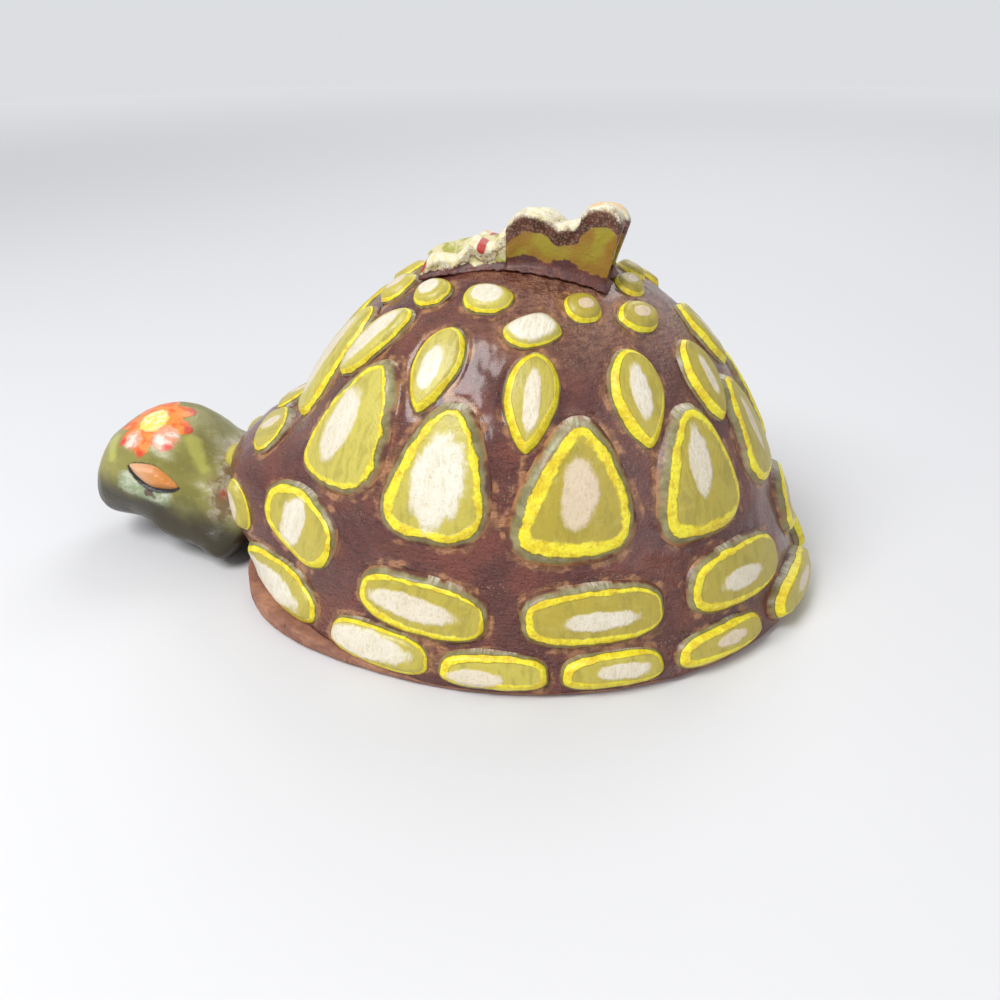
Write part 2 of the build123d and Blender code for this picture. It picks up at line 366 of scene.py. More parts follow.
def clay_copy(node, voxel, rounding):
    """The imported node's form as one even mesh, with its edges rounded as by a thumb."""
    work = bmesh.new()
    work.from_mesh(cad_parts[node].data)
    bmesh.ops.remove_doubles(work, verts=work.verts, dist=1e-6)
    mesh = bpy.data.meshes.new(node + "_form")
    work.to_mesh(mesh)
    work.free()
    made = add_object(node + "_form", mesh)
    remesh = made.modifiers.new("even", "REMESH")
    remesh.mode, remesh.voxel_size, remesh.use_smooth_shade = "VOXEL", voxel, True
    rounded = made.modifiers.new("round", "SMOOTH")
    rounded.factor, rounded.iterations = 0.5, rounding
    return plain_mesh(made, node + "_clay")


def plain_mesh(made, name):
    """The object with its modifiers worked in, as a plain mesh."""
    graph = bpy.context.evaluated_depsgraph_get()
    mesh = bpy.data.meshes.new_from_object(made.evaluated_get(graph))
    mesh.name = name
    bpy.data.objects.remove(made)
    return mesh


# Node trees

def arithmetic(operation, swapped=False):
    """The method that adds the node of a sum or product, for vectors or for numbers."""
    def combine(self, other):
        first, second = (other, self) if swapped else (self, other)
        if not self.is_vector:
            return self.nodes.math(operation, first, second)
        if operation == "MULTIPLY" and not getattr(other, "is_vector", False):
            return self.nodes.value("ShaderNodeVectorMath", {0: self, "Scale": other}, operation="SCALE")
        return self.nodes.vector(operation, first, second)
    return combine


class Value:
    """A node's output. Sums and products of such values add further nodes."""

    def __init__(self, nodes, socket):
        self.nodes, self.socket, self.is_vector = nodes, socket, socket.type == "VECTOR"

    __add__ = arithmetic("ADD")
    __sub__, __rsub__ = arithmetic("SUBTRACT"), arithmetic("SUBTRACT", swapped=True)
    __mul__ = arithmetic("MULTIPLY")
    __truediv__, __rtruediv__ = arithmetic("DIVIDE"), arithmetic("DIVIDE", swapped=True)


class Nodes:
    """Short ways to add nodes to a tree and to join them."""

    def __init__(self, tree):
        self.tree = tree

    def feed(self, socket, value):
        value = getattr(value, "socket", value)
        if isinstance(value, bpy.types.NodeSocket):
            self.tree.links.new(value, socket)
        else:
            socket.default_value = value

    def add(self, kind, inputs=None, **settings):
        made = self.tree.nodes.new(kind)
        for name, value in settings.items():
            setattr(made, name, value)
        for name, value in (inputs or {}).items():
            self.feed(made.inputs[name], value)
        return made

    def value(self, kind, inputs=None, output=0, **settings):
        """One output of a new node, the first unless another is asked for."""
        return Value(self, self.add(kind, inputs, **settings).outputs[output])

    def math(self, operation, *values):
        return self.value("ShaderNodeMath", dict(enumerate(values)), operation=operation)

    def vector(self, operation, *values):
        return self.value("ShaderNodeVectorMath", dict(enumerate(values)), operation=operation)

    def length(self, vector):
        return self.value("ShaderNodeVectorMath", {0: vector}, "Value", operation="LENGTH")

    def ease(self, value, low=0.4, high=0.6):
        """From 0 at low to 1 at high, smoothly; the two sides of a noise unless told."""
        return self.value("ShaderNodeMapRange", {"Value": value, "From Min": low, "From Max": high},
                          interpolation_type="SMOOTHSTEP")

    def parts(self, vector):
        return [Value(self, part) for part in self.add("ShaderNodeSeparateXYZ", {0: vector}).outputs]

    def join(self, x, y, z):
        return self.value("ShaderNodeCombineXYZ", {0: x, 1: y, 2: z})

    def noise(self, vector, scale, detail=2.0, roughness=0.5):
        return self.value("ShaderNodeTexNoise", {"Vector": vector, "Scale": scale, "Detail": detail,
                                                 "Roughness": roughness})

    def mix(self, share, *colours):
        """Two colours mixed, each another node's or given as a screen shows it."""
        first, second = [paint(*c) if isinstance(c, tuple) else c for c in colours]
        return self.value("ShaderNodeMix", {0: share, 6: first, 7: second}, 2, data_type="RGBA")

    def attribute(self, name, output="Fac"):
        return self.value("ShaderNodeAttribute", output=output, attribute_name=name)

    def effect(self, tree, values):
        return self.value("ShaderNodeGroup", dict(enumerate(values)), node_tree=tree)

    def hairs(self, place, stretch, fineness):
        return self.effect(hairs, (place, stretch, fineness))

    def over(self, value, edge, softness, raggedness, noise):
        """1 where the value is over the edge, with a ragged border."""
        return self.effect(ragged, (value, edge, softness, raggedness, noise))

    def specks(self, place, fineness, amount):
        return self.effect(specks, (place, fineness, amount))

    def position(self):
        return self.value("GeometryNodeInputPosition")

    def moved(self, geometry, way, value):
        """Geometry with its points set to a Position or shifted by an Offset."""
        return self.value("GeometryNodeSetPosition", {"Geometry": geometry, way: value})

    def painted(self, geometry, material):
        real = self.value("GeometryNodeRealizeInstances", {"Geometry": geometry})
        return self.value("GeometryNodeSetMaterial", {"Geometry": real, "Material": material})


def new_tree(name, kind, inputs, outputs):
    """A tree with its sockets, whose names are listed by kind."""
    tree = bpy.data.node_groups.new(name, kind)
    for direction, sockets in (("INPUT", inputs), ("OUTPUT", outputs)):
        for form, labels in sockets.items():
            for label in labels.split(", "):
                tree.interface.new_socket(name=label, in_out=direction, socket_type="NodeSocket" + form)
    n = Nodes(tree)
    given = {socket.name: Value(n, socket) for socket in tree.nodes.new("NodeGroupInput").outputs}
    return tree, n, given, tree.nodes.new("NodeGroupOutput").inputs


def set_inputs(modifier, tree, values):
    for item in tree.interface.items_tree:
        if item.in_out == "INPUT" and item.name in values:
            value = values[item.name]
            modifier[item.identifier] = float(value) if item.socket_type == "NodeSocketFloat" else value


def scute_tree():
    """A pillow of clay on a surface: an outline laid on the surface, raised, and closed below."""
    tree, n, given, out = new_tree("clay_pad", "GeometryNodeTree", {
        "Object": "Surface", "Material": "Material", "Int": "Count",
        "Vector": "Centre, Across, Along, Out, Cream Place, Cream Size",
        "Float": "Width, Height, Roundness, Narrowing, Lean, Lift, Bevel, Crown, Sink, Seed, Rim, Tone, "
                 "White, Zone, Edge Start, Edge End, Edge Rear, Edge Front"}, {"Geometry": "Mesh"})
    half_width, half_height = given["Width"] * 0.5, given["Height"] * 0.5
    power = 2.0 / given["Roundness"]

    def outline(place, share):
        """The point of the outline in the direction of place, at a share of the way out."""
        far = n.math("MAXIMUM", n.length(place), 1e-5)
        shaped = []
        for side in n.parts(place)[:2]:
            side = side / far
            shaped.append(n.math("SIGN", side) * n.math("POWER", n.math("ABSOLUTE", side), power))
        across, along = shaped
        narrow = given["Narrowing"] * along + 1.0
        lean = half_height * given["Lean"] * along
        return n.join(half_width * across * narrow + lean, half_height * along, 0.0) * share

    # A square grid drawn out to a disc, and its edge on its own
    square = n.value("GeometryNodeMeshGrid", {"Size X": 2.0, "Size Y": 2.0, "Vertices X": given["Count"],
                                              "Vertices Y": given["Count"]}, "Mesh")
    place = n.position()
    x, y, _ = n.parts(place)
    disc = n.join(x * n.math("SQRT", 1.0 - y * y * 0.5), y * n.math("SQRT", 1.0 - x * x * 0.5), 0.0)
    mesh = n.moved(square, "Position", outline(disc, n.length(disc)))
    circle = n.value("GeometryNodeMeshCircle", {"Vertices": foot_points, "Radius": 1.0}, "Mesh")
    foot = n.moved(circle, "Position", outline(place, 1.0))
    from_foot = n.value("GeometryNodeProximity", {0: foot}, "Distance", target_element="EDGES")

    # What the paint needs to know: distance from the foot, place on the pad, the cream stroke's field
    share = n.join(x - y * given["Lean"], y, 0.0) / n.join(half_width, half_height, 1.0)
    short = 1.0 - n.math("MINIMUM", from_foot / given["Bevel"], 1.0)
    for name, value in {
            "from_foot": from_foot * (1 / mm) / given["Zone"],
            "raise": 1.0 - n.math("POWER", short, bevel_power),
            "cream_field": n.length((share - given["Cream Place"]) / given["Cream Size"]),
            "pad_place": place * (1 / mm) + n.join(0.0, 0.0, given["Seed"]),
            "middle": n.length(share), "across_share": n.parts(share)[0], "up_share": n.parts(share)[1],
            "brush_rim": given["Rim"], "brush_tone": given["Tone"], "brush_white": given["White"]}.items():
        mesh = n.value("GeometryNodeStoreNamedAttribute", {"Geometry": mesh, "Name": name, "Value": value},
                       data_type="FLOAT_VECTOR" if value.is_vector else "FLOAT", domain="POINT")

    # Laid on the surface
    start = given["Centre"] + (given["Across"] * x + given["Along"] * y) + given["Out"] * ray_start
    surface = n.value("GeometryNodeObjectInfo", {"Object": given["Surface"]}, "Geometry")
    hit = n.value("GeometryNodeRaycast", {
        "Target Geometry": surface, "Source Position": start, "Ray Direction": given["Out"] * -1.0,
        "Ray Length": ray_length}, "Hit Position")
    laid = n.moved(mesh, "Position", hit)

    def named(name):
        return n.value("GeometryNodeInputNamedAttribute", {"Name": name}, "Attribute", data_type="FLOAT")

    # Raised top and sunk underside, with the clay's unevenness on top
    seeded = place + n.join(given["Seed"], 0.0, 0.0)
    uneven = (n.noise(seeded, 260.0) - 0.5) * (0.32 * mm) + (n.noise(seeded, 1100.0) - 0.5) * (0.10 * mm)
    middle = named("middle")
    height = given["Lift"] + given["Sink"] + (given["Crown"] * (1.0 - middle * middle) + uneven)
    height = height * named("raise") - given["Sink"]
    normal = n.value("GeometryNodeInputNormal")
    top = n.moved(laid, "Offset", normal * height)
    under = n.moved(laid, "Offset", normal * (given["Sink"] * -1.0))
    both = n.add("GeometryNodeJoinGeometry")
    n.feed(both.inputs[0], n.value("GeometryNodeFlipFaces", {"Mesh": under}))
    n.feed(both.inputs[0], top)
    closed = n.value("GeometryNodeMergeByDistance", {
        "Geometry": both.outputs[0], "Distance": seam_distance})

    # Cut off level at the shell's lower edge
    x, y, z = n.parts(place)
    level = n.value("ShaderNodeMapRange", {
        "Value": x, "From Min": given["Edge Start"], "From Max": given["Edge End"],
        "To Min": given["Edge Rear"], "To Max": given["Edge Front"]})
    trimmed = n.moved(closed, "Position", n.join(x, y, n.math("MAXIMUM", z, level)))
    shaded = n.value("GeometryNodeSetShadeSmooth", {"Geometry": trimmed})
    n.feed(out["Mesh"], n.painted(shaded, given["Material"]))
    return tree


def relief_tree():
    """Uneven clay: the surface moves in and out along its normal by two sizes of noise."""
    tree, n, given, out = new_tree("hand_relief", "GeometryNodeTree", {
        "Geometry": "Geometry", "Material": "Material", "Float": "Amount, Size, Seed"},
        {"Geometry": "Geometry"})
    place = n.position() + n.join(given["Seed"], 0.0, 0.0)
    coarse = n.noise(place, 1.0 / given["Size"], 1.0)
    fine = n.noise(place, 4.0 / given["Size"], 3.0)
    height = (coarse - 0.5 + (fine - 0.5) * 0.3) * given["Amount"]
    moved = n.moved(given["Geometry"], "Offset", n.value("GeometryNodeInputNormal") * height)
    n.feed(out["Geometry"], n.painted(moved, given["Material"]))
    return tree


# Shared effects of the finishes

def stroke_group():
    """Hairs of a brush: noise drawn out along one direction of the place."""
    tree, n, given, out = new_tree("brush_hairs", "ShaderNodeTree", {
        "Vector": "Place, Stretch", "Float": "Fineness"}, {"Float": "Hairs"})
    place = given["Place"]
    bent = place + n.join(n.noise(place, 0.35), n.noise(place, 0.5), 0.0) * 1.6
    n.feed(out["Hairs"], n.noise(bent * given["Stretch"], given["Fineness"], 3.0, 0.6))
    return tree


def ragged_group():
    """A painted edge: 1 where the value is over the edge, with a ragged border."""
    tree, n, given, out = new_tree("ragged_edge", "ShaderNodeTree", {
        "Float": "Value, Edge, Softness, Raggedness, Noise"}, {"Float": "Mask"})
    value = (given["Noise"] - 0.5) * given["Raggedness"] + given["Value"]
    edge, softness = given["Edge"], given["Softness"]
    n.feed(out["Mask"], n.ease(value, edge - softness, edge + softness))
    return tree


def speckle_group():
    """Small pits and specks in fired paint."""
    tree, n, given, out = new_tree("specks", "ShaderNodeTree", {
        "Vector": "Place", "Float": "Fineness, Amount"}, {"Float": "Specks"})
    place, fineness = given["Place"], given["Fineness"]
    cells = n.value("ShaderNodeTexVoronoi", {"Vector": place, "Scale": fineness}, "Distance")
    reach = n.ease(n.noise(place, fineness * 0.12), 0.45, 0.7) * given["Amount"]
    n.feed(out["Specks"], n.ease(reach - cells, 0.0, 0.08))
    return tree


hairs, ragged, specks = stroke_group(), ragged_group(), speckle_group()


def object_place(n):
    """Place on the object in millimetres."""
    return n.value("ShaderNodeTexCoord", output="Object") * (1 / mm)


def new_finish(design):
    """A material. Its design gives the shader's inputs and a height field with its depth for the bump."""
    material = bpy.data.materials.new(design.__name__)
    material.use_nodes = True
    n, shader = Nodes(material.node_tree), material.node_tree.nodes["Principled BSDF"]
    inputs, height, depth = design(n)
    if height:
        inputs["Normal"] = n.value("ShaderNodeBump", {"Height": height, "Strength": 1.0, "Distance": depth})
    for name, value in inputs.items():
        n.feed(shader.inputs[name], value)
    return material


def shell_paint(n):
    """Red-brown ground, glossy, with clay-coloured patches and dark gaps at the feet of the scutes."""
    place = object_place(n)
    gap = n.attribute("pad_gap")
    strokes = n.hairs(place, (0.5, 0.5, 1.6), 1.3)
    cloudy = n.noise(place, 0.16, 3)
    colour = n.mix(n.ease(cloudy, 0.35, 0.68), (88, 31, 20), (118, 53, 35))
    colour = n.mix(n.ease(strokes, 0.54, 0.75) * 0.35, colour, (124, 78, 68))
    x, y, z = n.parts(place)
    worn = n.ease(z, 44.0, 54.0) * n.ease(x + cloudy * 40.0, 8.0, 30.0)
    dusty = n.mix(n.ease(strokes), (128, 84, 62), (168, 126, 96))
    colour = n.mix(worn * 0.55, colour, dusty)
    colour = n.mix(n.ease(strokes, 0.45, 0.25) * 0.6, colour, (52, 20, 15))
    patch = n.over(n.noise(place, 0.16), 0.47, 0.04, 0.1, strokes)
    near = n.over(gap, 0.7, 0.25, 2.6, n.noise(place, 0.3, 3))
    bare = patch * (1.0 - near)
    clay = n.mix(n.ease(n.noise(place, 0.5)), (124, 78, 44), (178, 124, 82))
    colour = n.mix(bare, colour, clay)
    # Darker in patches right at the feet of the scutes
    dark_at_feet = 1.0 - n.over(gap, 0.32, 0.1, 0.7, n.noise(place, 0.3))
    colour = n.mix(dark_at_feet * n.ease(n.noise(place, 0.19), 0.5, 0.56), colour, (24, 12, 10))
    spots = n.specks(place, 1.5, 0.34)
    colour = n.mix(spots * 0.5, colour, (168, 128, 100))
    height = strokes * 0.8 + n.noise(place, 2.2, 4, 0.65) * 0.6 + n.noise(place, 0.55) * 1.6 - spots * 0.5
    return {"Base Color": colour, "Roughness": strokes * 0.4 + 0.16 + bare * 0.2, "Coat Weight": 0.65,
            "Coat Roughness": 0.16}, height, 0.7 * mm


def scute_paint(n):
    """A scute from its foot inwards: olive side with a painted highlight at its top, thick yellow rim,
    green-yellow fill, cream stroke.
    """
    place = n.attribute("pad_place", "Vector")
    foot, field = n.attribute("from_foot"), n.attribute("cream_field")
    across, upper = n.attribute("across_share"), n.attribute("up_share")
    rim_width, tone, white = [n.attribute("brush_" + kind) for kind in ("rim", "tone", "white")]
    along = n.hairs(place, (1.2, 0.3, 1.0), 0.55)
    fine = n.hairs(place, (3.6, 0.8, 1.0), 0.8)
    wave = n.noise(place, 0.26, 3, 0.6)
    wave_inside = n.noise(place, 0.3, 3, 0.6)
    cloudy = n.noise(place, 0.5, 3, 0.6)
    clots = n.noise(place, 1.7, 3, 0.65)

    side = n.mix(n.ease(cloudy, 0.34, 0.66), (116, 108, 62), (152, 144, 98))
    side = n.mix(n.ease(wave_inside, 0.5, 0.64) * 0.6, side, (144, 108, 68))
    outer = n.mix(n.ease(wave), (96, 52, 36), (172, 118, 72))
    side = n.mix(n.over(foot, 0.95, 0.35, 2.4, wave), outer, side)
    # Painted highlight: the olive side turns pale towards the top of the scute, where light falls
    cap = n.ease(upper, 0.7, 0.96) * n.ease(wave, 0.44, 0.6)
    painted_highlight = n.mix(n.ease(fine), (150, 142, 112), (214, 208, 190))
    side = n.mix(cap * 0.8, side, painted_highlight)

    fill = n.mix(tone, (162, 138, 14), (204, 192, 84))
    fill = n.mix(n.ease(along, 0.52, 0.34) * 0.45, fill, (142, 130, 44))
    fill = n.mix(n.ease(cloudy, 0.48, 0.74) * 0.25, fill, (208, 196, 104))
    fill = n.mix(n.ease(fine, 0.5, 0.3) * 0.14, fill, (112, 104, 44))

    bright = n.mix(n.ease(cloudy, 0.35, 0.6), (224, 194, 10), (242, 228, 34))
    bright = n.mix(n.ease(clots, 0.52, 0.68) * 0.5, bright, (246, 240, 110))
    bright = n.mix(n.ease(clots, 0.46, 0.32) * 0.45, bright, (186, 154, 18))

    # The rim is thickest at the foot and on one side, the olive side widest at the top
    rim_edge = upper * 0.35 - across * 0.35 + 2.15
    heavy = 1.2 - upper * 0.3 - across * 0.4
    inner_edge = rim_width * heavy + rim_edge
    in_rim = n.over(foot, rim_edge, 0.16, 2.6, wave)
    in_fill = n.over(foot, inner_edge, 0.3, 2.8, wave_inside)
    colour = n.mix(in_fill, n.mix(in_rim, side, bright), fill)

    dry = along * 0.55 + fine * 0.3 + wave * 0.55
    thin = n.ease(fine + clots * 0.6, 0.8, 0.6)
    stroke = 1.0 - n.over(field, 1.0, 0.14, 1.5, dry * 0.72)
    stroke = stroke * n.ease(foot, 2.2, 2.8) * (1.0 - thin * 0.25)
    cream = n.mix(white, (212, 178, 138), (234, 228, 210))
    cream = n.mix(n.ease(along, 0.56, 0.4) * 0.25, cream, (210, 194, 156))
    colour = n.mix(stroke, colour, cream)
    thick = in_rim * (1.0 - in_fill * 0.6)
    height = thick * 0.9 + stroke * 0.5 + (fine + along) * 0.4 + clots * (thick * 0.8 + 0.4)
    return {"Base Color": colour, "Roughness": fine * 0.3 + 0.26, "Coat Weight": 0.25,
            "Coat Roughness": 0.22}, height, 0.2 * mm


def skin_paint(n):
    """Olive skin, satin, with painted shade below, a painted flower on the crown, leaf strokes, lined eyes,
    a painted highlight under each eye and painted glints at the collar.
    """
    place = object_place(n)
    x, y, z = n.parts(place)
    strokes = n.hairs(place, (0.5, 0.8, 0.8), 0.9)
    cloudy = n.noise(place, 0.13, 3)
    colour = n.mix(n.ease(cloudy, 0.35, 0.65), (122, 116, 46), (150, 144, 76))
    colour = n.mix(n.ease(strokes, 0.52, 0.8) * 0.5, colour, (160, 156, 92))
    # Painted shade: the underside of the head and neck darkens to dark olive
    under = n.ease(x * 0.22 + z + (cloudy - 0.5) * 5.0, 1.5, -5.0)
    colour = n.mix(under * 0.96, colour, (40, 31, 9))
    # Brown smear of the shell's paint over the collar, with pale painted glints in it
    collar = n.ease(x + (strokes - 0.5) * 7.0, -60.5, -57.0) * n.ease(z, 9.0, 13.0)
    smear_and_glints = n.mix(n.ease(n.noise(place, 0.34, 3, 0.6), 0.42, 0.56), (112, 76, 54), (178, 166, 146))
    colour = n.mix(collar * 0.75, colour, smear_and_glints)

    wobble = n.noise(place, 0.9)

    def within(name, edge, softness, raggedness):
        return 1.0 - n.over(n.attribute(name), edge, softness, raggedness, wobble)

    colour = n.mix(within("leaf", 1.5, 0.8, 1.2) * 0.85, colour, (182, 180, 88))
    petals = within("petal", 0.0, 0.3, 1.3)
    orange = n.mix(n.ease(n.noise(place, 0.5)), (228, 98, 22), (232, 140, 56))
    colour = n.mix(petals, colour, orange)
    blush = n.mix(n.ease(strokes), (240, 158, 132), (250, 226, 214))
    colour = n.mix(within("blush", 2.3, 0.9, 1.2) * 0.9, colour, blush)
    colour = n.mix(within("petal_tip", 0.8, 0.55, 1.6) * 0.9, colour, (206, 58, 40))
    heart = n.mix(n.ease(wobble, 0.42, 0.58), (250, 214, 92), (252, 228, 172))
    colour = n.mix(within("heart", 2.8, 0.35, 1.4), colour, heart)

    # Painted highlight: a pale mint stroke below each eye
    eye_highlight = n.mix(n.ease(strokes), (150, 166, 128), (196, 204, 180))
    colour = n.mix(within("under_eye", 2.1, 0.9, 1.6) * 0.85, colour, eye_highlight)
    colour = n.mix(within("eye_smudge", 0.9, 0.3, 1.4) * 0.9, colour, (84, 58, 44))
    # Dark line round the lid: the painted eye line below, painted shade in the crease above
    colour = n.mix(within("eye_line", 0.0, 0.18, 0.5), colour, (26, 18, 12))
    colour = n.mix(within("neck_dot", 0.7, 0.4, 1.4), colour, (158, 78, 44))
    height = strokes * 0.6 + n.noise(place, 2.2, 3) * 0.4 + petals * 0.8
    return {"Base Color": colour, "Roughness": strokes * 0.25 + 0.26, "Coat Weight": 0.2,
            "Coat Roughness": 0.2}, height, 0.12 * mm


def eyelid_paint(n):
    """Peach at the front of the closed lid, orange behind, dark at its foot: the painted eye line below,
    painted shade in the crease above.
    """
    place = object_place(n)
    x = n.parts(place)[0]
    strokes = n.hairs(place, (0.5, 1.0, 2.4), 1.6)
    shift = x + (strokes - 0.5) * 4.0
    colour = n.mix(n.ease(shift, -74.0, -68.0), (216, 166, 126), (206, 130, 56))
    colour = n.mix(n.ease(strokes, 0.55, 0.7) * 0.5, colour, (232, 178, 120))
    # Dark at the lid's foot all round: the painted eye line below, painted shade in the crease above
    foot = n.over(n.attribute("from_foot"), 0.35, 0.15, 0.4, strokes)
    colour = n.mix(foot, (60, 34, 18), colour)
    return {"Base Color": colour, "Roughness": strokes * 0.2 + 0.3}, strokes, 0.08 * mm


def butterfly_paint(n):
    """Cream lobes, dark brown drips under them, ochre cells and a dark foot in the ground's brown, darkened
    as painted shade where the wing meets the shell.
    """
    place = object_place(n)
    rim, foot = n.attribute("under_rim"), n.attribute("over_foot")
    cell, fore = n.attribute("cell_field"), n.attribute("fore_share")
    strokes = n.hairs(place, (1.6, 1.6, 0.6), 1.0)
    wave, grain = n.noise(place, 0.42, 3, 0.6), n.noise(place, 2.4, 3, 0.7)
    dark = n.mix(n.ease(wave), (70, 32, 24), (102, 54, 44))
    ochre = n.mix(n.ease(n.noise(place, 0.18, 1), 0.42, 0.6), (146, 106, 16), (158, 142, 30))
    green = n.mix(n.ease(wave, 0.42, 0.58), (160, 158, 56), (214, 206, 160))
    colour = n.mix(n.over(cell, 0.0, 0.12, 1.5, wave), dark, n.mix(fore, green, ochre))
    mottle = n.ease(grain, 0.5, 0.6) * n.ease(rim, 4.6, 2.4)
    colour = n.mix(mottle * 0.5, colour, (176, 150, 118))
    cream = n.mix(n.ease(strokes, 0.38, 0.6), (226, 212, 156), (238, 232, 210))
    crumbs = n.ease(grain, 0.53, 0.6) * n.ease(rim, 0.2, 1.3)
    cream = n.mix(crumbs * 0.75, cream, (112, 70, 44))
    on_rim = n.over(rim, 2.3 - fore * 1.7, 0.4, 3.0, wave * 0.5 + grain * 0.5)
    colour = n.mix(1.0 - on_rim, colour, cream)
    warm = n.ease(n.noise(place, 0.2, 1), 0.56, 0.62) * n.ease(rim, 0.35, 0.1)
    colour = n.mix(warm * 0.6, colour, (226, 160, 84))
    red = n.over(n.attribute("red_field"), 1.0, 0.15, 0.6, wave)
    colour = n.mix(1.0 - red, colour, (178, 52, 40))
    # The foot in the ground's brown, darker as painted shade at the base of the wing
    base = n.over(foot, fore * 1.2 + 1.2, 0.15, 2.6, wave)
    ground = n.mix(n.ease(wave), (74, 30, 24), (98, 46, 33))
    colour = n.mix(base, ground, colour)
    return {"Base Color": colour, "Roughness": grain * 0.25 + 0.32,
            "Coat Weight": 0.12}, grain * 0.9 + strokes, 0.18 * mm


def bare_clay(n):
    """Bare fired clay, pinkish, with grog and finger streaks."""
    place = object_place(n)
    strokes = n.hairs(place, (0.4, 0.4, 2.0), 0.8)
    cloudy = n.noise(place, 0.2, 4, 0.6)
    colour = n.mix(n.ease(cloudy, 0.35, 0.65), (138, 92, 76), (176, 126, 98))
    colour = n.mix(n.ease(strokes, 0.5, 0.7) * 0.5, colour, (112, 66, 54))
    spots = n.specks(place, 1.1, 0.4)
    colour = n.mix(spots * 0.6, colour, (84, 48, 38))
    height = n.noise(place, 1.8, 5, 0.7) * 0.8 + strokes * 0.5 - spots
    return {"Base Color": colour, "Roughness": cloudy * 0.2 + 0.62}, height, 0.25 * mm


finishes = {design.__name__: new_finish(design)
            for design in (shell_paint, scute_paint, skin_paint, eyelid_paint, butterfly_paint, bare_clay)}
pad_tree, uneven_tree = scute_tree(), relief_tree()


def finish_piece(made, node):
    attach(made, "root")
    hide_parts(node)


def uneven(name, mesh, amount, size, seed, finish):
    """A piece of hand-worked clay from its mesh."""
    made = add_object(name + "_rough", mesh)
    modifier = made.modifiers.new("relief", "NODES")
    modifier.node_group = uneven_tree
    set_inputs(modifier, uneven_tree, {
        "Amount": amount * mm, "Size": size * mm, "Seed": seed, "Material": finishes[finish]})
    result = plain_mesh(made, name)
    smooth(result)
    return add_object(name, result)


# The smooth forms that pads are laid on

def form_rings(rows, low):
    """Rings of the shell from a lowest height at each column, or one for all, to near the top."""
    lowest = np.arcsin((low / shell_height + 0 * columns) ** (profile_power / 2))
    share = np.arange(rows)[:, None] / rows
    turn = lowest + (math.pi / 2 - lowest) * share
    return shell_point(columns, np.sin(turn) ** (2 / profile_power))


columns = np.arange(shell_columns) * 360 / shell_columns
shell_top = (0, 0, shell_height)
shell_rings = form_rings(shell_rows, 0.0)
skirt = shell_rings[0] - np.array((0, 0, form_below))
shell_form = add_object("shell_form", ring_mesh(
    "shell_form", np.concatenate([[skirt], shell_rings]), (0, 0, -form_below), shell_top))
head_clay = clay_copy("head_and_neck", 0.36 * mm, 4)
head_form = add_object("head_form", head_clay)
bpy.context.view_layer.update()


def pad(name, surface, finish, centre, across, out, size, shares, brush, lift, seed):
    """An object that its node tree makes into one pad of clay."""
    width_share, height_share, roundness, narrowing, lean = shares
    width, height = size[0] * width_share, size[1] * height_share
    side, rim, tone, cream_x, cream_y, cream_width, cream_height, white = brush
    made = add_object(name, bpy.data.meshes.new(name))
    modifier = made.modifiers.new("pad", "NODES")
    modifier.node_group = pad_tree
    across, out = Vector(across).normalized(), Vector(out).normalized()
    zone = min(max((min(width, height) - zone_least) / zone_reach, zone_least_share), 1.0)
    bevel = scute_bevel * max(zone, bevel_least_share)
    set_inputs(modifier, pad_tree, {
        "Surface": surface, "Material": finishes[finish], "Centre": centre, "Across": across,
        "Along": out.cross(across), "Out": out, "Width": width, "Height": height, "Roundness": roundness,
        "Narrowing": narrowing, "Lean": lean, "Lift": lift, "Bevel": bevel,
        "Crown": scute_crown if lift > mm else 0.0, "Sink": scute_sink,
        "Count": int(max(width, height) / scute_step), "Seed": seed, "Rim": rim / side, "Tone": tone,
        "Cream Place": (cream_x, cream_y, 0.0), "Cream Size": (cream_width, cream_height, 1.0),
        "White": white, "Zone": zone * side, "Edge Start": edge_lift_start, "Edge End": edge_lift_end,
        "Edge Rear": edge_rear_height, "Edge Front": edge_front_height})
    return made


def scute(name, size, shares, brush, side, seed):
    degrees, level, width, height, roundness, narrowing, lean, turn = shares
    azimuth = side * degrees
    across = shell_point(azimuth + 1, level) - shell_point(azimuth - 1, level)
    up = shell_point(azimuth, level + 0.01) - shell_point(azimuth, level - 0.01)
    out = np.cross(across, up)
    turned = Matrix.Rotation(math.radians(-side * turn), 3, Vector(out)) @ Vector(across)
    spread = 0.8 * (size[1] * height / 2) ** 2 / shell_width
    brush = (*brush[:3], -side * brush[3], *brush[4:])
    grown = (size[0] + spread, size[1] + spread)
    tail_part = ease((tail_angle - degrees) / tail_angle * 2) * ease((tail_level - level) / tail_blend)
    return pad(name, shell_form, "scute_paint", shell_point(azimuth, level), turned, out, grown,
               (width, height, roundness, narrowing, -side * lean), brush,
               scute_lift + tail_lift * tail_part, seed)


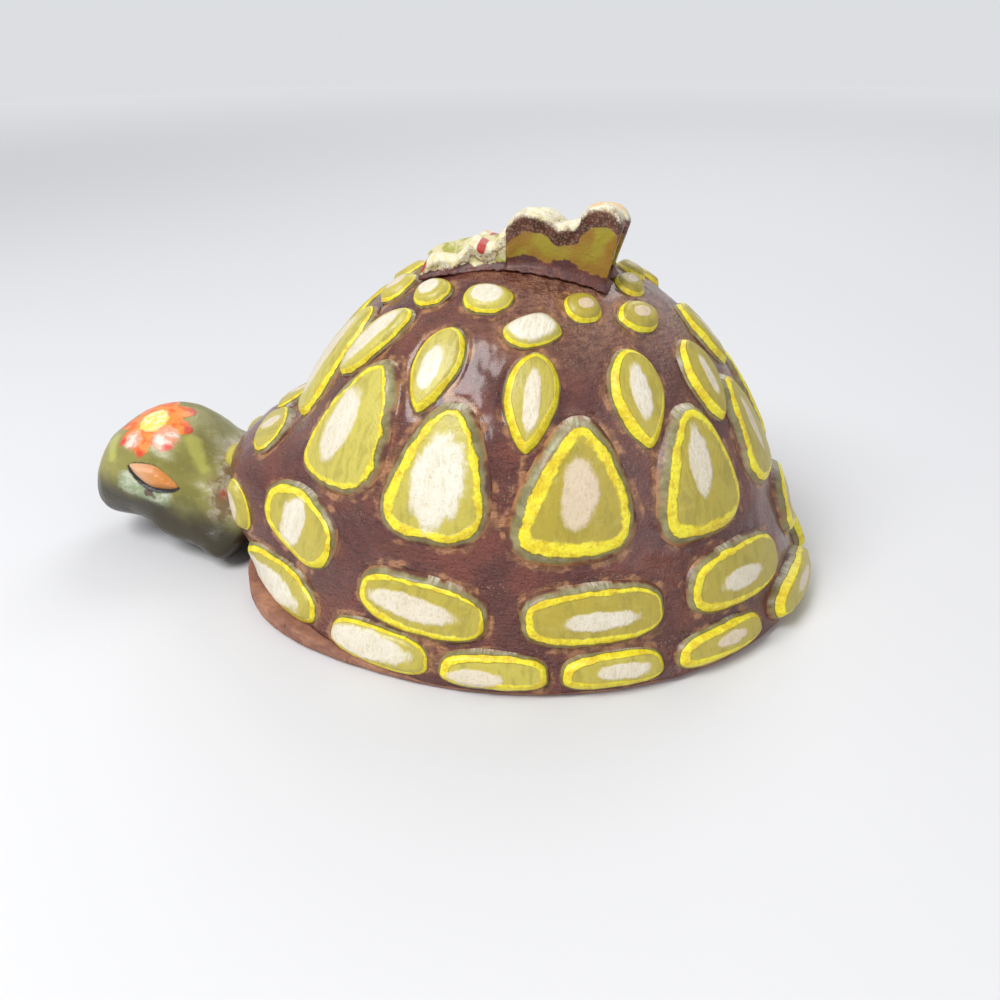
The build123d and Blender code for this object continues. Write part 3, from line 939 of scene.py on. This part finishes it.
pads = {}
for side_name, side in sides:
    for row, (size, table, brushes) in rows.items():
        for count, (shares, brush) in enumerate(zip(table, brushes), 1):
            name = f"{side_name}_{row}_scute_{count}"
            pads[name] = scute("painted_" + name, size, shares, brush, side, 3.7 * len(pads))
for row, shares, seed in (("diamond", rear_diamond_shares, 301.0), ("lower", rear_lower_shares, 307.0)):
    size, _, brushes = rows[row]
    name = f"rear_{row}_scute"
    pads[name] = scute("painted_" + name, size, shares, brushes[-1], -1, seed)
for side_name, side in sides:
    turn = Matrix.Rotation(math.radians(side * eyelid_slope), 3, (0, side, 0))
    centre = Vector((-shell_length / 2 - eyelid_reach, side * head_half_width, eyelid_level))
    pads[side_name + "_eyelid"] = pad(
        f"painted_{side_name}_eyelid", head_form, "eyelid_paint", centre, turn @ Vector((-side, 0, 0)),
        (0, side, 0), eyelid_size, (1, 1, 1.35, 0, 0), (1, 0, 0, 0, 0, 1, 1, 0), eyelid_lift, 331.0 + side)

bpy.context.view_layer.update()
pads = {name: plain_mesh(made, "painted_" + name) for name, made in pads.items()}

# Feet of the pads, for the gaps in the ground's paint
feet = {}
for kind in ("scute", "eyelid"):
    found = np.concatenate([places(mesh)[get_attribute(mesh, "from_foot") < 0.03]
                            for name, mesh in pads.items() if kind in name])
    feet[kind] = KDTree(len(found))
    for i, point in enumerate(found):
        feet[kind].insert(point, i)
    feet[kind].balance()


def foot_gaps(kind, points):
    """Distance in millimetres from each point to the nearest foot of a pad."""
    return np.array([feet[kind].find(point)[2] for point in points]) / mm


# Pads become pieces, the marginal ones as one piece a side
for side_name, _ in sides:
    group = bmesh.new()
    for count in range(1, len(marginal_shares) + 1):
        group.from_mesh(pads.pop(f"{side_name}_marginal_scute_{count}"))
    mesh = bpy.data.meshes.new(f"painted_{side_name}_marginal_scutes")
    group.to_mesh(mesh)
    group.free()
    mesh.materials.append(finishes["scute_paint"])
    smooth(mesh)
    pads[side_name + "_marginal_scutes"] = mesh
for name, mesh in pads.items():
    finish_piece(add_object("painted_" + name, mesh), name)

# Shell: outer skin, lower edge and inner skin
rim_heights = edge_height(shell_rings[0][:, 0])
share = np.linspace(0, 1, inner_rows, endpoint=False)[:, None]
levels = np.sin(share * math.pi / 2) ** (2 / profile_power) + 0 * columns
narrowed = (1 - levels ** profile_power) ** (1 / profile_root)
inner = np.stack([(shell_length / 2 - shell_wall) * np.cos(np.radians(columns)) * narrowed,
                  (shell_width / 2 - shell_wall) * np.sin(np.radians(columns)) * narrowed,
                  (shell_height - shell_wall) * levels], -1)
inner[0][:, 2] = rim_heights
shell_mesh = ring_mesh("shell", np.concatenate([inner[::-1], form_rings(shell_rows, rim_heights)]),
                       (0, 0, shell_height - shell_wall), shell_top)
points = places(shell_mesh)
gap = foot_gaps("scute", points)
set_attribute(shell_mesh, "pad_gap", gap)
groove = groove_depth * np.exp(-(gap / groove_width) ** 2)
move_to(shell_mesh, points - places(shell_mesh, "normal") * groove[:, None])
shell = uneven("painted_shell", shell_mesh, 0.9, 9, 5.0, "shell_paint")
finish_piece(shell, "carapace")

# Head: brow, eye hollow and neck folds worked into the clay, then the fields that the paint follows
bpy.data.objects.remove(head_form)
points, out = places(head_clay), places(head_clay, "normal")
x, y, z = points.T / mm
from_eye = x + (shell_length / 2 + eyelid_reach) / mm
over_eye = z - eyelid_level / mm
slope = math.radians(eyelid_slope)
eye_u = from_eye * math.cos(slope) - over_eye * math.sin(slope)
eye_v = from_eye * math.sin(slope) + over_eye * math.cos(slope)
beside = np.abs(y) > 4
hollow = np.exp(-((eye_u / 6.4) ** 2 + (eye_v / 2.9) ** 2) ** 1.5)
brow = np.exp(-(eye_u / 7.5) ** 2 - ((eye_v - 4.6) / 1.9) ** 2)
cheek = np.exp(-((eye_u + 0.5) / 6.0) ** 2 - ((eye_v + 5.2) / 2.4) ** 2)
crease = np.exp(-(eye_u / 5.2) ** 4 - ((eye_v + 2.3 * (1 - (eye_u / 6.5) ** 2)) / 0.55) ** 2)
shift = np.where(beside, -0.35 * hollow + 0.35 * brow + 0.3 * cheek - 0.45 * crease, 0) * mm
nape = nape_slimmed * np.exp(-((x + 58.5) / 4.5) ** 2) * ease((z - 15) / 6)
points = points + out * (shift - nape)[:, None]
# The throat spreads towards the belly slab, most of all at the collar
throat = (throat_spread * ease((x + 78) / 8) + collar_spread * ease((x + 56) / 6)) * ease((12 - z) / 9)
points[:, 1] += np.sign(y) * throat * ease(np.abs(y) / 7)
points[:, 2] -= crown_lowered * ease((z - 16) / 10)
points[:, 0] += snout_shortened * np.maximum(snout_start - points[:, 0], 0)
move_to(head_clay, points)


def from_line(u, v, start, end):
    """Distance in millimetres from a straight stroke between two points."""
    du, dv = end[0] - start[0], end[1] - start[1]
    along = np.clip(((u - start[0]) * du + (v - start[1]) * dv) / (du * du + dv * dv), 0, 1)
    return np.hypot(u - start[0] - along * du, v - start[1] - along * dv) + 0.5 * along


arc = np.arctan2(-y, z - head_axis_height / mm) * crown_radius
fu, fv = x - flower_place[0], arc - flower_place[1]
petal_angle, first_petal = 2 * math.pi / petal_count, math.radians(petal_turn)
turned = np.arctan2(fv, fu) - first_petal
far = np.hypot(fu, fv)
lobe = flower_radius * (0.62 + 0.38 * np.abs(np.cos(turned * petal_count / 2)) ** 0.7)
nearest = np.round(turned / petal_angle) * petal_angle + first_petal
tip_u, tip_v = petal_tip_radius * np.cos(nearest), petal_tip_radius * np.sin(nearest)
line_width = np.where(eye_v < 0, line_below, shade_line_above) * np.clip(1.25 - (eye_u / 6.5) ** 2, 0, 1)
for name, values in {
        "petal": far - lobe, "heart": far, "petal_tip": np.hypot(fu - tip_u, fv - tip_v),
        "blush": np.minimum(np.hypot(fu - 3.6, fv - 3.9), np.hypot(fu + 3.2, fv - 4.4) + 0.5),
        "leaf": np.minimum(*[from_line(x, arc, *stroke) for stroke in leaf_strokes]),
        "under_eye": np.where(beside, from_line(x, z, *eye_highlight_stroke), unpainted),
        "eye_smudge": np.where(beside, from_line(x, z, *smudge_stroke), unpainted),
        "neck_dot": np.where(y < -4, np.hypot(x - neck_dot[0], z - neck_dot[1]), unpainted),
        "eye_line": np.where(beside, foot_gaps("eyelid", points) - line_width, unpainted)}.items():
    set_attribute(head_clay, name, values)
finish_piece(uneven("painted_head", head_clay, 0.5, 7, 11.0, "skin_paint"), "head_and_neck")

# Butterfly: lobes swell at the rim and the middle of a wing is pressed in. In millimetres
turn = math.radians(butterfly_turn)
for node in ("butterfly_body", "left_forewing", "left_hindwing", "right_forewing", "right_hindwing"):
    wing, fore, hind = "wing" in node, "forewing" in node, "hindwing" in node
    clay = clay_copy(node, 0.26 * mm, 6)
    points, out = places(clay), places(clay, "normal")
    along = (points[:, 0] * math.cos(turn) - (points[:, 1] + butterfly_offset) * math.sin(turn)) / mm
    foot = (points[:, 2] - shell_top_at(points[:, 0], points[:, 1])) / mm
    length = along.max() - along.min()
    along = along - along.min()
    share = along / length
    # Distance below the wing's rim, whose height is read from strips along it
    strip = np.clip((share * rim_strips).astype(int), 0, rim_strips - 1)
    tops = [points[strip == s, 2].max() if (strip == s).any() else 0 for s in range(rim_strips)]
    rim = np.interp(share, (np.arange(rim_strips) + 0.5) / rim_strips, tops) / mm - points[:, 2] / mm
    if wing:
        pressed = ease(rim / 3.5) * ease(foot / 3) * ease(share / 0.15) * ease((1 - share) / 0.15)
        swell = wing_swell * np.exp(-(rim / 2.0) ** 2) - wing_pressed * pressed
        if hind:
            for bead in bead_places:
                swell = swell + bead_swell * np.exp(-((along - bead) / 1.6) ** 2 - (rim / 1.9) ** 2)
        points = points + out * (swell * mm)[:, None]
        if fore:
            valley = np.exp(-((along - valley_middle) / 1.7) ** 2)
            points[:, 2] += valley_filled * valley * ease(foot / 5)
        fillet = foot_fillet * ease((2.0 - foot) / 2.4) ** 2
        points[:, :2] += out[:, :2] * fillet[:, None]
        move_to(clay, points)
    cell_places = fore_cells if fore else hind_cells
    cells = np.max([width - np.abs(along - middle) for middle, width in cell_places], axis=0)
    red = np.hypot(np.minimum(np.abs(along - 10.8), np.abs(along - 0.6)), rim) / 0.9
    for name, values in {
            "under_rim": rim if wing else 6 + 0 * rim, "over_foot": foot,
            "cell_field": np.minimum(cells, rim - (3.4 if fore else 2.6)) if wing else 3 + 0 * rim,
            "fore_share": np.full(len(points), float(fore)),
            "red_field": red if hind else unpainted + 0 * red}.items():
        set_attribute(clay, name, values)
    finish_piece(uneven("painted_" + node, clay, 0.4, 5, 17.0, "butterfly_paint"), node)

# Belly slab
belly = clay_copy("plastron", 0.5 * mm, 2)
points = places(belly)
x_share, y_share = points[:, 0] / shell_length, points[:, 1] / shell_width
from_front = np.abs(180 - np.degrees(np.arctan2(y_share, x_share)) % 360)
near_front = np.exp(-((from_front - belly_squeeze_angle) / belly_squeeze_spread) ** 2)
squeezed = belly_squeeze * near_front * ease((np.hypot(x_share, y_share) * 2 - 0.86) / 0.1)
level = points * (1, 1, 0)
away = level / np.linalg.norm(level + 1e-9, axis=1)[:, None]
move_to(belly, points + away * squeezed[:, None])
bare_plastron = uneven("bare_plastron", belly, 0.35, 5, 23.0, "bare_clay")
move_to(bare_plastron.data, np.maximum(places(bare_plastron.data), (-1, -1, 0)))
finish_piece(bare_plastron, "plastron")
bpy.data.objects.remove(shell_form)


# Floor, backdrop and light
sky_colour = paint(236, 238, 242)


def pale_floor(n):
    """Pale floor, faded into the sky's colour where only the camera sees it."""
    far = n.length(n.value("ShaderNodeTexCoord", output="Object"))
    sky_part = n.ease(far, floor_clear, floor_gone) * n.value("ShaderNodeLightPath", output="Is Camera Ray")
    return {"Base Color": n.mix(sky_part, (222, 222, 224), (0, 0, 0)), "Roughness": 0.7,
            "Specular IOR Level": sky_part * -0.5 + 0.5, "Emission Color": sky_colour,
            "Emission Strength": sky_part * sky_seen}, None, 0.0


floor_mesh = bpy.data.meshes.new("floor")
floor_mesh.from_pydata([(-3, -3, 0), (3, -3, 0), (3, 3, 0), (-3, 3, 0)], [], [(0, 1, 2, 3)])
floor_mesh.materials.append(new_finish(pale_floor))
floor = add_object("floor", floor_mesh)

scene = bpy.context.scene
scene.world = bpy.data.worlds.new("studio")
scene.world.use_nodes = True
n = Nodes(scene.world.node_tree)
seen = n.add("ShaderNodeLightPath").outputs
bright = n.math("MAXIMUM", seen["Is Camera Ray"], seen["Is Glossy Ray"])
sky = scene.world.node_tree.nodes["Background"]
n.feed(sky.inputs["Color"], sky_colour)
n.feed(sky.inputs["Strength"], bright * (sky_seen - sky_level) + sky_level)

for name, place, size, power in area_lights:
    light = bpy.data.lights.new(name, "AREA")
    light.size, light.energy = size, power
    made = bpy.data.objects.new(name, light)
    made.location = place
    made.rotation_euler = (light_target - Vector(place)).to_track_quat("-Z", "Y").to_euler()
    scene.collection.objects.link(made)

camera_data = bpy.data.cameras.new("photo_camera")
camera_data.lens, camera_data.sensor_width = photo_lens, photo_sensor
camera_data.clip_start, camera_data.clip_end = 0.01, 10.0
camera = bpy.data.objects.new("photo_camera", camera_data)
camera_up = camera_right.cross(camera_forward)
turned = Matrix((camera_right, camera_up, -camera_forward)).transposed().to_4x4()
camera.matrix_world = Matrix.Translation(camera_place) @ turned
scene.collection.objects.link(camera)
scene.camera = camera
scene.view_settings.view_transform = "Standard"
